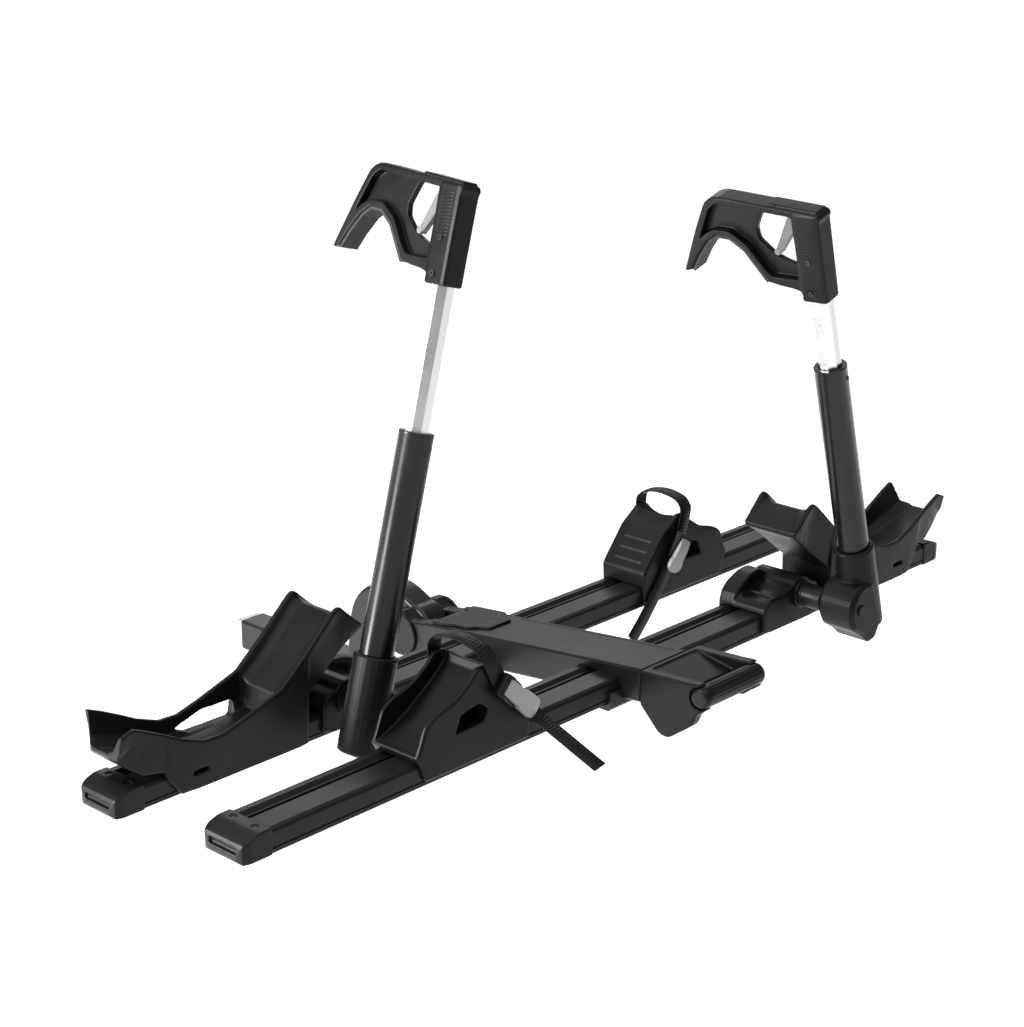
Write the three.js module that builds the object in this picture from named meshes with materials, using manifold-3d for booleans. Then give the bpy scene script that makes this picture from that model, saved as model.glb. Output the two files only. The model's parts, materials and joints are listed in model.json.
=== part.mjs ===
// Hitch-mounted platform rack for two wheeled loads.
// A 2 in stinger carries a tilting spine. Two wheel trays cross the spine, and each tray has
// a wheel cradle, a folding ratchet arm and a sliding wheel chock with a strap.
// All lengths are millimetres. While a piece is drawn, X runs along the trays, +Y points to
// the vehicle, and the origin is under the middle of the outer tray. FRAME_SHIFT then moves
// everything so that the origin is on the underside of the stinger, below the hitch pin.
import * as THREE from 'three';
import { mergeVertices } from 'three/addons/utils/BufferGeometryUtils.js';
import Module from 'manifold-3d';

const wasm = await Module();
wasm.setup();

// ---------- driving dimensions ----------
const CLEARANCE = 0.3; // gap between pieces that touch on the real rack
const FRAME_SHIFT = new THREE.Vector3(13, -740, 165.4);

const RAIL_LENGTH = 1400;
const RAIL_HALF_WIDTH = 37.4;
const RAIL_HEIGHT = 34.2;
const CAP_LENGTH = 48;
const CAP_HALF_WIDTH = 39;
const TRAY_SPACING = 248.6;
const TRAY_STEP = 23.9; // the inner tray sits this much lower than the outer one

const SPINE_CENTRE_X = -13;
const SPINE_HALF_WIDTH = 50;
const SPINE_SLOPE = 0.108; // fall of the spine per unit of length towards the vehicle
const SPINE_TOP_AT_ZERO = 49.2;
const SPINE_DEPTH = 50;
const SPINE_WALL = 5;
const SPINE_ROOF = 3.2;
const SPINE_HANDLE_END = -75.5;
const SPINE_SHELL_END = 352;
const HUB_SLOT_Y = 345; // the roof ends here between the cheeks, clear of the tilting mast

const PIVOT_Y = 403;
const PIVOT_Z = -20;
const HUB_RADIUS = 38;
const MAST_HALF_WIDTH = 23;
const CHEEK_RADIUS = 37;
const PIVOT_PIN_RADIUS = 8;

const STINGER_HALF = 25.4;
const STINGER_WALL = 6.4;
const STINGER_CENTRE_Z = -140;
const STINGER_START_Y = 500;
const STINGER_END_Y = 812;
const HITCH_PIN_Y = 740;
const HITCH_PIN_RADIUS = 8.2;

const GRIP_Y = -180;
const GRIP_Z = 44;
const GRIP_RADIUS = 16;
const GRIP_GROOVES = 10;

const ARM_HINGE_U = 353; // distance of the arm hinge from the middle of the tray
const ARM_HINGE_H = 48; // height of the arm hinge over the tray's underside
const ARM_LEAN = THREE.MathUtils.degToRad(15.5);
const ARM_FOOT_U = 394; // the arm's centre line passes this point
const ARM_FOOT_H = 54;
const ARM_OFFSET_Y = -122;
const ARM_TUBE_RADIUS = 23.8;
const ARM_TUBE_TOP = 391; // measured along the arm from its foot
const ARM_TUBE_BORE = 18.6;
const EXTENSION_FLATS = 31;
const EXTENSION_LENGTH = 415;
const EXTENSION_BORE = 12.5;
const HEAD_HALF_THICKNESS = 17;
const HEAD_YAW = THREE.MathUtils.degToRad(4); // each hook turns a little towards the middle

// The two trays. side is the direction along X of the wheel cradle and the arm.
// headHeight is where the collar of the head stands along the arm.
const TRAYS = [
  { tag: 'inner', side: -1, y: TRAY_SPACING, z: -TRAY_STEP, headHeight: 585, chockStart: 280 },
  { tag: 'outer', side: 1, y: 0, z: 0, headHeight: 497, chockStart: 251 },
];

// ---------- looks ----------
const LOOKS = {
  railMetal: { color: 0x222326, roughness: 0.45, metalness: 0.6 },
  spinePaint: { color: 0x1b1c1e, roughness: 0.5, metalness: 0.3 },
  tubePaint: { color: 0x17181a, roughness: 0.32, metalness: 0.4 },
  blackPlastic: { color: 0x1d1e20, roughness: 0.6, metalness: 0.0 },
  charcoalPlastic: { color: 0x26272a, roughness: 0.55, metalness: 0.0 },
  silverTube: { color: 0xd9dbde, roughness: 0.3, metalness: 0.9 },
  greyPlastic: { color: 0x8b8d91, roughness: 0.5, metalness: 0.0 },
  silverPlastic: { color: 0xa9abaf, roughness: 0.4, metalness: 0.1 },
  rubber: { color: 0x3a3b3e, roughness: 0.8, metalness: 0.0 },
  steel: { color: 0x8e9196, roughness: 0.35, metalness: 0.9 },
  blackScrew: { color: 0x232426, roughness: 0.4, metalness: 0.5 },
  strapPlastic: { color: 0x141516, roughness: 0.65, metalness: 0.0 },
};

// ---------- solid helpers ----------
const AXES = {
  x: [[0, 1, 0], [0, 0, 1], [1, 0, 0]],
  y: [[1, 0, 0], [0, 0, 1], [0, -1, 0]],
  z: [[1, 0, 0], [0, 1, 0], [0, 0, 1]],
};

function toSolid(geometry) {
  const bare = geometry.clone();
  bare.deleteAttribute('normal');
  bare.deleteAttribute('uv');
  const merged = mergeVertices(bare, 1e-3);
  const corners = merged.index.array;
  const whole = [];
  for (let i = 0; i < corners.length; i += 3) {
    const [a, b, c] = [corners[i], corners[i + 1], corners[i + 2]];
    if (a !== b && b !== c && c !== a) whole.push(a, b, c);
  }
  return new wasm.Manifold(new wasm.Mesh({
    numProp: 3,
    vertProperties: new Float32Array(merged.attributes.position.array),
    triVerts: new Uint32Array(whole),
  }));
}

function toGeometry(solid) {
  const mesh = solid.getMesh();
  const geometry = new THREE.BufferGeometry();
  const corners = new Float32Array(mesh.vertProperties);
  geometry.setAttribute('position', new THREE.BufferAttribute(corners, 3));
  geometry.setIndex(new THREE.BufferAttribute(new Uint32Array(mesh.triVerts), 1));
  return geometry;
}

// Points are [a, b] or [a, b, radius]; a radius rounds that corner.
function rounded(points, steps = 2) {
  const result = [];
  points.forEach((point, i) => {
    const here = new THREE.Vector2(point[0], point[1]);
    if (!point[2]) {
      result.push(here);
      return;
    }
    const last = points[(i + points.length - 1) % points.length];
    const next = points[(i + 1) % points.length];
    const back = new THREE.Vector2(last[0], last[1]).sub(here);
    const ahead = new THREE.Vector2(next[0], next[1]).sub(here);
    const reach = Math.min(point[2], back.length() * 0.49, ahead.length() * 0.49);
    const from = here.clone().addScaledVector(back.normalize(), reach);
    const to = here.clone().addScaledVector(ahead.normalize(), reach);
    for (let k = 0; k <= steps; k += 1) {
      const t = k / steps;
      const first = from.clone().lerp(here, t);
      const second = here.clone().lerp(to, t);
      result.push(first.lerp(second, t));
    }
  });
  return result;
}

// A closed surface through rings of equal length, each { at, ring: [Vector2, ...] }, along +Z.
function ringsToGeometry(stations) {
  const count = stations[0].ring.length;
  const positions = [];
  stations.forEach(({ at, ring }) => {
    ring.forEach((point) => positions.push(point.x, point.y, at));
  });
  const index = [];
  for (let s = 0; s + 1 < stations.length; s += 1) {
    for (let i = 0; i < count; i += 1) {
      const a = s * count + i;
      const b = s * count + ((i + 1) % count);
      index.push(a, b, b + count, a, b + count, a + count);
    }
  }
  // Triangles of one end, wound the same way round as its ring.
  const endOf = (ring) => THREE.ShapeUtils.triangulateShape(ring, []).map(([a, b, c]) => {
    const turn = THREE.ShapeUtils.area([ring[a], ring[b], ring[c]]);
    return turn * THREE.ShapeUtils.area(ring) > 0 ? [a, b, c] : [a, c, b];
  });
  const last = (stations.length - 1) * count;
  endOf(stations[0].ring).forEach(([a, b, c]) => index.push(a, c, b));
  endOf(stations[stations.length - 1].ring)
    .forEach(([a, b, c]) => index.push(last + a, last + b, last + c));
  const inwards = THREE.ShapeUtils.area(stations[0].ring) < 0;
  if (inwards !== stations[stations.length - 1].at < stations[0].at) {
    for (let i = 0; i < index.length; i += 3) {
      [index[i + 1], index[i + 2]] = [index[i + 2], index[i + 1]];
    }
  }
  const geometry = new THREE.BufferGeometry();
  geometry.setAttribute('position', new THREE.Float32BufferAttribute(positions, 3));
  geometry.setIndex(index);
  return geometry;
}

// Moves every side of a closed outline inwards.
function inset(points, distance) {
  const flat = points.map(([a, b]) => new THREE.Vector2(a, b));
  const turn = Math.sign(THREE.ShapeUtils.area(flat));
  return points.map((point, i) => {
    const before = flat[(i + flat.length - 1) % flat.length];
    const after = flat[(i + 1) % flat.length];
    const into = flat[i].clone().sub(before).normalize();
    const outOf = after.clone().sub(flat[i]).normalize();
    const first = new THREE.Vector2(-into.y, into.x).multiplyScalar(turn);
    const second = new THREE.Vector2(-outOf.y, outOf.x).multiplyScalar(turn);
    const share = distance / Math.max(1 + first.dot(second), 0.3);
    const radius = point[2] ? Math.max(point[2] - distance / 2, point[2] / 2) : 0;
    return [
      point[0] + (first.x + second.x) * share,
      point[1] + (first.y + second.y) * share,
      radius,
    ];
  });
}

// Places a solid drawn along +Z along another axis.
function turned(geometry, axis) {
  const [a, b, c] = AXES[axis].map((v) => new THREE.Vector3(...v));
  geometry.applyMatrix4(new THREE.Matrix4().makeBasis(a, b, c));
  return toSolid(geometry);
}

// A prism of an outline along an axis, with its end edges bevelled by edge.
// Outlines are (y, z) for x, (x, z) for y and (x, y) for z.
function prism(axis, points, from, to, edge = 0, steps = 2) {
  const flip = axis === 'y' ? -1 : 1;
  const [low, high] = [flip * from, flip * to].sort((p, q) => p - q);
  const full = rounded(points, steps);
  if (edge === 0) {
    return turned(ringsToGeometry([{ at: low, ring: full }, { at: high, ring: full }]), axis);
  }
  const small = rounded(inset(points, edge), steps);
  return turned(ringsToGeometry([
    { at: low, ring: small }, { at: low + edge, ring: full },
    { at: high - edge, ring: full }, { at: high, ring: small },
  ]), axis);
}

function box(x0, x1, y0, y1, z0, z1, edge = 0) {
  return prism('z', [[x0, y0], [x1, y0], [x1, y1], [x0, y1]], z0, z1, edge);
}

function circle(radius, a, b, sides = 16) {
  return Array.from({ length: sides }, (_, i) => {
    const turn = (2 * Math.PI * (i + 0.5)) / sides;
    return [a + radius * Math.cos(turn), b + radius * Math.sin(turn)];
  });
}

function arc(radius, a, b, fromDegrees, toDegrees, steps) {
  return Array.from({ length: steps + 1 }, (_, i) => {
    const turn = THREE.MathUtils.degToRad(fromDegrees + ((toDegrees - fromDegrees) * i) / steps);
    return [a + radius * Math.cos(turn), b + radius * Math.sin(turn)];
  });
}

// A round hole whose flats stand clear of a shaft of the given radius.
function bore(axis, radius, a, b, from, to, sides = 16) {
  return rod(axis, radius / Math.cos(Math.PI / sides), a, b, from, to, 0, sides);
}

function rod(axis, radius, a, b, from, to, edge = 0, sides = 16) {
  return prism(axis, circle(radius, a, b, sides), from, to, edge);
}

// A solid along X through stations { at, ring: [[y, z], ...] } with rings of equal length.
function loft(stations) {
  const rings = stations.map(({ at, ring }) => (
    { at, ring: ring.map(([y, z]) => new THREE.Vector2(y, z)) }
  ));
  return turned(ringsToGeometry(rings), 'x');
}

// A flat band through stations { at: [x, y, z], across: [x, y, z] }.
function ribbon(stations, width, thickness) {
  const places = stations.map((station) => new THREE.Vector3(...station.at));
  const positions = [];
  stations.forEach((station, i) => {
    const ahead = places[Math.min(i + 1, places.length - 1)];
    const behind = places[Math.max(i - 1, 0)];
    const along = ahead.clone().sub(behind).normalize();
    const across = new THREE.Vector3(...station.across);
    across.addScaledVector(along, -across.dot(along)).normalize();
    const out = along.clone().cross(across);
    [[-1, -1], [1, -1], [1, 1], [-1, 1]].forEach(([p, q]) => {
      const corner = places[i].clone();
      corner.addScaledVector(across, (p * width) / 2);
      corner.addScaledVector(out, (q * thickness) / 2);
      positions.push(corner.x, corner.y, corner.z);
    });
  });
  const index = [];
  for (let s = 0; s + 1 < stations.length; s += 1) {
    for (let i = 0; i < 4; i += 1) {
      const a = 4 * s + i;
      const b = 4 * s + ((i + 1) % 4);
      index.push(a, b, b + 4, a, b + 4, a + 4);
    }
  }
  const last = 4 * (stations.length - 1);
  index.push(0, 2, 1, 0, 3, 2, last, last + 1, last + 2, last, last + 2, last + 3);
  const geometry = new THREE.BufferGeometry();
  geometry.setAttribute('position', new THREE.Float32BufferAttribute(positions, 3));
  geometry.setIndex(index);
  return toSolid(geometry);
}

// ---------- node list ----------
const group = new THREE.Group();
group.name = 'platform_rack';

function add(name, solid, look, placement = new THREE.Matrix4()) {
  const geometry = toGeometry(solid);
  geometry.applyMatrix4(placement);
  geometry.translate(FRAME_SHIFT.x, FRAME_SHIFT.y, FRAME_SHIFT.z);
  geometry.computeVertexNormals();
  const mesh = new THREE.Mesh(geometry, new THREE.MeshStandardMaterial(LOOKS[look]));
  mesh.name = name;
  group.add(mesh);
}

// ---------- rails ----------
// Tray rail section, (y, z): a slot for the chock foot is sunk in the half facing the vehicle.
const SLOT_NEAR = 4;
const SLOT_FAR = 16;
const SLOT_LIP = 26;
const SLOT_FLOOR = 19;
const RAIL_SECTION = [
  [-35.4, 0], [35.4, 0], [37.4, 2], [37.4, 31], [34.5, 34.2], [25, 34.2], [19.5, 29.5],
  [SLOT_FAR, 29.5], [SLOT_FAR, SLOT_LIP], [19, SLOT_LIP], [19, SLOT_FLOOR], [1, SLOT_FLOOR],
  [1, SLOT_LIP], [SLOT_NEAR, SLOT_LIP], [SLOT_NEAR, 33.2], [3, 34.2], [-31, 34.2],
  [-35.5, 32.4], [-37.4, 28.5], [-37.4, 9.5], [-35.9, 9.5], [-35.9, 7], [-37.4, 7], [-37.4, 2],
];
const RAIL_NEAR_VOID = [[-34, 3], [-2, 3], [-2, 31.2], [-31, 31.2], [-34, 28]];
const RAIL_FAR_VOID = [[2, 3], [34.4, 3], [34.4, 29], [31, 31], [23, 25.5], [23, 16], [2, 16]];

function railClearance(from, to) {
  const side = RAIL_HALF_WIDTH + CLEARANCE;
  const top = RAIL_HEIGHT + CLEARANCE;
  return box(from, to, -side, side, -60, top);
}

function makeRail() {
  const half = RAIL_LENGTH / 2;
  const body = prism('x', RAIL_SECTION, -half, half);
  const nearVoid = prism('x', RAIL_NEAR_VOID, -half - 1, half + 1);
  const farVoid = prism('x', RAIL_FAR_VOID, -half - 1, half + 1);
  return body.subtract(nearVoid).subtract(farVoid);
}

function makeCap(side) {
  const inner = RAIL_LENGTH / 2 + CLEARANCE;
  const nose = RAIL_LENGTH / 2 + CAP_LENGTH;
  const wide = CAP_HALF_WIDTH;
  const plan = prism('z', [
    [side * inner, -wide], [side * nose, -wide, 14], [side * nose, wide, 14], [side * inner, wide],
  ], -1, 37, 2);
  const profile = prism('y', [
    [side * inner, -1], [side * inner, 36], [side * (inner + 20), 36, 5],
    [side * (nose - 3), 27, 6], [side * nose, 4, 3], [side * (nose - 5), -1],
  ], -wide - 1, wide + 1);
  const plug = box(side * (inner - 22), side * (inner + 4), -33.6, -2.4, 3.4, 27.8);
  const slot = box(side * (nose - 6), side * (nose + 2), -25, 25, 12, 20);
  let cap = plan.intersect(profile).add(plug).subtract(slot);
  [-20, 20].forEach((y) => {
    cap = cap.subtract(rod('z', 5, side * (inner + 11), y, 34.4, 40, 0, 12));
  });
  return cap;
}

// ---------- wheel cradle at the end of a tray ----------
// One row per cross-section: distance from the middle of the tray, rim height, rim half width,
// trough floor height, trough floor half width, underside height, underside half width.
const CRADLE_ROWS = [
  [326, 150, 48, 149.5, 34, 143, 44],
  [345, 165.5, 49, 162, 32, 131, 42],
  [353, 173, 49.5, 167, 30, 125, 41],
  [366, 185, 50, 174, 28, 115, 40],
  [372, 186, 50, 173, 28, 110, 40],
  [380, 181, 50, 167, 28, 104, 40],
  [400, 163, 50, 147, 27, 89, 41],
  [424, 141, 50, 123, 26, 70, 42],
  [426, 139, 50, 121, 26, 3, 44.5],
  [449, 120, 50, 101, 26, 2, 44.5],
  [470, 103, 50, 85, 27, 2, 44.5],
  [475, 99, 50, 50, 30, 2, 44.5],
  [537, 79, 50, 41, 30, 2, 44.5],
  [577, 68, 50, 40, 30, 2, 44.5],
  [608, 69, 50, 43, 28, 2, 44.5],
  [644, 83, 50, 52, 24, 3, 44.5],
  [666, 95, 50, 59, 22, 32, 44.5],
  [668, 96, 50, 60, 22, 42, 42],
  [700, 112, 50, 68, 18, 47, 40],
  [719, 120, 50, 75, 16, 60, 38],
  [738, 112, 48, 84, 14, 78, 36],
];
const CRADLE_RIM = 7;
const CRADLE_BOWL = 0.3; // how far up the trough is at its middle width, as a share of its depth

function cradleRing([, rimH, rimW, floorH, floorW, underH, underW]) {
  const shoulder = Math.max(underH + 4, rimH - 22);
  const lip = rimW - CRADLE_RIM;
  const middle = (lip + floorW) / 2 + 2;
  const middleH = floorH + (rimH - floorH) * CRADLE_BOWL;
  return [
    [-underW, underH], [underW, underH], [(underW + rimW) / 2 + 1, shoulder], [rimW, rimH],
    [lip, rimH], [middle, middleH], [floorW, floorH], [-floorW, floorH], [-middle, middleH],
    [-lip, rimH], [-rimW, rimH], [-(underW + rimW) / 2 - 1, shoulder],
  ];
}

function makeCradle(side) {
  const stations = CRADLE_ROWS.map((row) => ({ at: side * row[0], ring: cradleRing(row) }));
  let cradle = loft(stations);
  cradle = cradle.subtract(railClearance(side * 420, side * 760));
  // Opening in the rim on the vehicle's side.
  const rimWindow = [
    [side * 488, 64, 4], [side * 540, 64, 4], [side * 590, 51, 3],
    [side * 568, 42, 2], [side * 494, 42, 3],
  ];
  cradle = cradle.subtract(prism('y', rimWindow, 30, 60));
  // Slots in the skirt on the side away from the vehicle.
  const skirtSlot = [
    [side * 626, 24, 2], [side * 626, 30, 2], [side * 600, 30, 2], [side * 600, 24, 2],
  ];
  cradle = cradle.subtract(prism('y', skirtSlot, -60, -30));
  // The wing on the vehicle's side ends earlier than the other one.
  const wingEnd = [[side * 722, 60], [side * 722, 42], [side * 745, 8], [side * 745, 60]];
  cradle = cradle.subtract(prism('z', wingEnd, 40, 140));
  return cradle;
}

// ---------- shoe that carries the arm hinge ----------
const SHOE_NEAR = -45;
const SHOE_FAR = 43;
const SPIGOT_START = -30;
const BARREL_START = -45.5;
const BARREL_END = -89;
const BARREL_RADIUS = 18;
const HOUSING_RADIUS = 27;
const SPIGOT_RADIUS = 12;
const HINGE_PIN_RADIUS = 8;
const KNUCKLE_HALF_DEPTH = 32;

function makeShoe(side) {
  const lower = prism('y', [
    [side * 262, 7, 3], [side * 262, 44, 6], [side * 274, 55, 4], [side * 306, 56, 4],
    [side * 326, 64, 5], [side * 350, 68, 6], [side * 370, 66, 8], [side * 392, 58, 6],
    [side * 398, 46, 4], [side * 398, 8, 3], [side * 380, 4, 3], [side * 280, 4, 3],
  ], SHOE_NEAR, SHOE_FAR, 2);
  const shoulder = prism('y', [
    [side * 262, 40], [side * 266, 56, 6], [side * 280, 68, 6], [side * 304, 78, 8],
    [side * 330, 80, 8], [side * 348, 64, 6], [side * 348, 40],
  ], 12, SHOE_FAR, 3);
  const shell = rod('y', HOUSING_RADIUS, side * ARM_HINGE_U, ARM_HINGE_H, 36, SHOE_NEAR, 2);
  const deckStep = box(side * 262, side * 296, -36, 8, 52, 70);
  const spigotSeat = bore('y', SPIGOT_RADIUS + CLEARANCE, side * ARM_HINGE_U, ARM_HINGE_H,
    SPIGOT_START + CLEARANCE, -70);
  return lower.add(shoulder).add(shell).subtract(deckStep)
    .subtract(railClearance(side * 250, side * 410)).subtract(spigotSeat);
}

// Spigot, collar ring, barrel and hinge pin as one turned piece.
function makeHinge(side) {
  const collar = BARREL_RADIUS + 4;
  const profile = [
    [0, -157], [6.5, -157], [HINGE_PIN_RADIUS, -155.5], [HINGE_PIN_RADIUS, BARREL_END],
    [BARREL_RADIUS - 1.5, BARREL_END], [BARREL_RADIUS, BARREL_END + 1.5],
    [BARREL_RADIUS, BARREL_START - 10], [BARREL_RADIUS + 1.5, BARREL_START - 9],
    [BARREL_RADIUS + 1.5, BARREL_START - 7], [BARREL_RADIUS, BARREL_START - 6],
    [BARREL_RADIUS, BARREL_START - 5], [collar, BARREL_START - 4], [collar, BARREL_START],
    [SPIGOT_RADIUS, BARREL_START], [SPIGOT_RADIUS, SPIGOT_START], [0, SPIGOT_START],
  ];
  return revolve(profile, side * ARM_HINGE_U, ARM_HINGE_H);
}

// A turned solid about a line along Y; the profile is [radius, y].
function revolve(profile, x, z) {
  const lathe = new THREE.LatheGeometry(profile.map(([r, y]) => new THREE.Vector2(r, y)), 16);
  lathe.translate(x, 0, z);
  return toSolid(lathe);
}

// ---------- folding arm ----------
const armFrame = (tray) => new THREE.Matrix4()
  .makeTranslation(0, tray.y, tray.z)
  .multiply(new THREE.Matrix4().makeTranslation(tray.side * ARM_FOOT_U, ARM_OFFSET_Y, ARM_FOOT_H))
  .multiply(new THREE.Matrix4().makeRotationY(-tray.side * ARM_LEAN));

const headFrame = (tray) => armFrame(tray)
  .multiply(new THREE.Matrix4().makeRotationZ(tray.side * HEAD_YAW));

// The knuckle is drawn upright with the arm, so its outline is turned into the arm's frame.
function leaned(side, points) {
  return points.map(([u, h, radius]) => {
    const du = u - ARM_FOOT_U;
    const dh = h - ARM_FOOT_H;
    const across = du * Math.cos(ARM_LEAN) + dh * Math.sin(ARM_LEAN);
    const along = -du * Math.sin(ARM_LEAN) + dh * Math.cos(ARM_LEAN);
    return [side * across, along, radius];
  });
}

const SLEEVE_RADIUS = 30.5;
const SLEEVE_TOP = 88;
const SLEEVE_FLOOR = -48;
const SOCKET_FLOOR = -20;

function makeKnuckle(side) {
  const outline = leaned(side, [
    [330, 36, 6], [330, 58, 8], [342, 76, 6], [354, 86, 8], [382, 88, 6], [391, 72, 6],
    [405, 30, 6], [409, 10, 6], [398, -10, 6], [384, -14, 6], [366, 2, 6], [340, 18, 6],
  ]);
  const block = prism('y', outline, -KNUCKLE_HALF_DEPTH, KNUCKLE_HALF_DEPTH, 6);
  const sleeve = rod('z', SLEEVE_RADIUS, 0, 0, SLEEVE_FLOOR, SLEEVE_TOP, 2.5, 24);
  const [hinge] = leaned(side, [[ARM_HINGE_U, ARM_HINGE_H]]);
  const hingeHole = bore('y', HINGE_PIN_RADIUS + CLEARANCE, hinge[0], hinge[1], -40, 40);
  const socket = bore('z', ARM_TUBE_RADIUS + CLEARANCE, 0, 0, SOCKET_FLOOR, SLEEVE_TOP + 5, 24);
  return block.add(sleeve).subtract(hingeHole).subtract(socket);
}

function makeArmTube() {
  const floor = -19.5;
  let tube = rod('z', ARM_TUBE_RADIUS, 0, 0, floor, ARM_TUBE_TOP, 1, 24);
  tube = tube.subtract(rod('z', ARM_TUBE_BORE, 0, 0, floor + 4, ARM_TUBE_TOP - 24, 0, 16));
  const flats = octagon(EXTENSION_FLATS + 1.2);
  tube = tube.subtract(prism('z', flats, ARM_TUBE_TOP - 26, ARM_TUBE_TOP + 2));
  return tube.subtract(rod('y', 3, 6, ARM_TUBE_TOP - 18, -30, -8, 0, 12));
}

function octagon(flats) {
  return circle(flats / 2 / Math.cos(Math.PI / 8), 0, 0, 8);
}

function makeExtension(tray) {
  const top = tray.headHeight + 96;
  const tube = prism('z', octagon(EXTENSION_FLATS), top - EXTENSION_LENGTH, top, 0.8);
  return tube.subtract(rod('z', EXTENSION_BORE, 0, 0, top - EXTENSION_LENGTH - 1, top - 6, 0, 8));
}

// ---------- hook head ----------
// Outlines of the head are [towards the vehicle, height over the collar's lower end].
const NOTCH = [
  [201, 23], [187, 46], [168, 70], [153, 81], [133, 80], [111, 65], [91, 38], [78, 20],
];
const PAD_THICKNESS = 4;
const HEAD_OUTLINE = [
  [-19, 1, 4], [-20, 121, 4], [-23, 127, 2], [-20, 134, 3], [150, 146, 12], [167, 135, 8],
  [189, 90, 10], [219, 21, 4],
];
const HEAD_LOWER = [[56, 19, 3], [34, 17, 2], [22, 14, 3], [19, 1, 4]];
const HEAD_WINDOW = [
  [23, 125, 4], [76, 129, 4], [91, 98, 3], [89, 82, 4], [65, 61, 4], [44, 53, 4], [22, 48, 3],
];
const HEAD_RECESS = [
  [23, 127, 3], [146, 136, 5], [160, 125, 4], [184, 75, 3], [172, 86, 4], [157, 94, 6],
  [131, 94, 5], [103, 76, 4], [80, 45, 4], [68, 32, 5], [23, 32, 3],
];
const WEB_HALF_THICKNESS = 4.5;
const POST_HALF = 18;
const POST_BACK = -19.5;
const TRIGGER_PIVOT = [60, 66];
const TRIGGER_BOSS = 5;

// Moves each point of an open line sideways by a distance.
function offsetLine(points, distance) {
  return points.map((point, i) => {
    const behind = points[Math.max(i - 1, 0)];
    const ahead = points[Math.min(i + 1, points.length - 1)];
    const run = new THREE.Vector2(ahead[0] - behind[0], ahead[1] - behind[1]).normalize();
    return [point[0] - run.y * distance, point[1] + run.x * distance];
  });
}

function raised(points, base) {
  return points.map(([v, h, radius]) => [v, h + base, radius]);
}

function makeHead(tray) {
  const base = tray.headHeight;
  const deep = HEAD_HALF_THICKNESS;
  const notchWall = offsetLine(NOTCH, -PAD_THICKNESS - CLEARANCE);
  const outline = raised([...HEAD_OUTLINE, ...notchWall, ...HEAD_LOWER], base);
  let head = prism('x', outline, -deep, deep, 2);
  // Post around the upper tube, a little thicker than the hook.
  const post = prism('z', [
    [-POST_HALF, POST_BACK, 6], [POST_HALF, POST_BACK, 6], [POST_HALF, 20, 3],
    [-POST_HALF, 20, 3],
  ], base, base + 133, 2);
  head = head.add(post);
  const topPad = raised([[-18, 131], [-18, 137.6, 2], [62, 143.2, 2], [62, 137]], base);
  head = head.add(prism('x', topPad, -13, 13, 1.5));
  // Between the rims the web is thin, so it is recessed on both faces.
  const recess = raised(HEAD_RECESS, base);
  head = head.subtract(prism('x', recess, WEB_HALF_THICKNESS, deep + 2));
  head = head.subtract(prism('x', recess, -deep - 2, -WEB_HALF_THICKNESS));
  head = head.subtract(prism('x', raised(HEAD_WINDOW, base), -deep - 2, deep + 2));
  // Pocket in the post that lets the trigger swing in.
  head = head.subtract(box(-6, 6, 18.5, 34, base + 88, base + 128));
  const boss = bore('x', TRIGGER_BOSS + 1, TRIGGER_PIVOT[0], TRIGGER_PIVOT[1] + base, -6.4, 6.4);
  head = head.subtract(boss);
  const reach = octagon(EXTENSION_FLATS + 2 * CLEARANCE);
  head = head.subtract(prism('z', reach, base - 2, base + 98));
  [[6, 62], [8, 14]].forEach(([v, h]) => {
    head = head.subtract(
      bore('x', SCREW_RADIUS + CLEARANCE, v - 3, h + base, -deep - 12, -SCREW_SEAT, 10),
    );
  });
  return head;
}

const SCREW_RADIUS = 4;
const SCREW_SEAT = 17.2;

function makeHeadScrew(tray, height, across) {
  const y = across - 3;
  const z = tray.headHeight + height;
  const head = rod('x', SCREW_RADIUS, y, z, -SCREW_SEAT - 2.6, -SCREW_SEAT - CLEARANCE, 0.8, 12);
  const socket = rod('x', 1.8, y, z, -SCREW_SEAT - 4, -SCREW_SEAT - 1.3, 0, 6);
  return head.subtract(socket);
}

function makePad(tray) {
  const wall = offsetLine(NOTCH, -PAD_THICKNESS);
  const ring = raised([...NOTCH, ...wall.reverse()], tray.headHeight);
  return prism('x', ring, -HEAD_HALF_THICKNESS + 2.5, HEAD_HALF_THICKNESS - 2.5);
}

function makeTrigger(tray) {
  const [v, h] = TRIGGER_PIVOT;
  const outline = raised([
    [v + 3, h + 3, 2], [v, h + 8, 2], [37, 121.5, 3], [26.5, 121.5, 2], [26.5, 103, 2],
    [v - 7, h - 1, 2], [v - 2, h - 4, 2],
  ], tray.headHeight);
  const pivot = rod('x', TRIGGER_BOSS, v, h + tray.headHeight, -5.5, 5.5, 0, 16);
  return prism('x', outline, -5, 5, 1).add(pivot);
}

// ---------- wheel chock with strap ----------
// Outlines of the chock are [distance from its inner end, height over the tray's underside].
const CHOCK_WALLS = [
  [3, 8, 3], [0, 58, 4], [6, 66, 3], [46, 114, 6], [66, 127, 5], [82, 138, 5], [100, 137, 6],
  [114, 122, 8], [142, 104, 6], [178, 94, 8], [194, 84, 6], [206, 54, 4], [212, 44, 3],
  [206, 36, 3], [196, 8, 4],
];
const CHOCK_TROUGH = [
  [66, 160], [84, 122], [104, 104], [128, 88], [150, 73], [176, 59], [204, 48], [222, 44],
  [222, 160],
];
const CHOCK_WINDOW = [[143, 58, 3], [132, 82, 3], [98, 88, 4], [82, 76, 3], [90, 60, 3]];
const CHOCK_HALF_WIDTH = 44;

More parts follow.
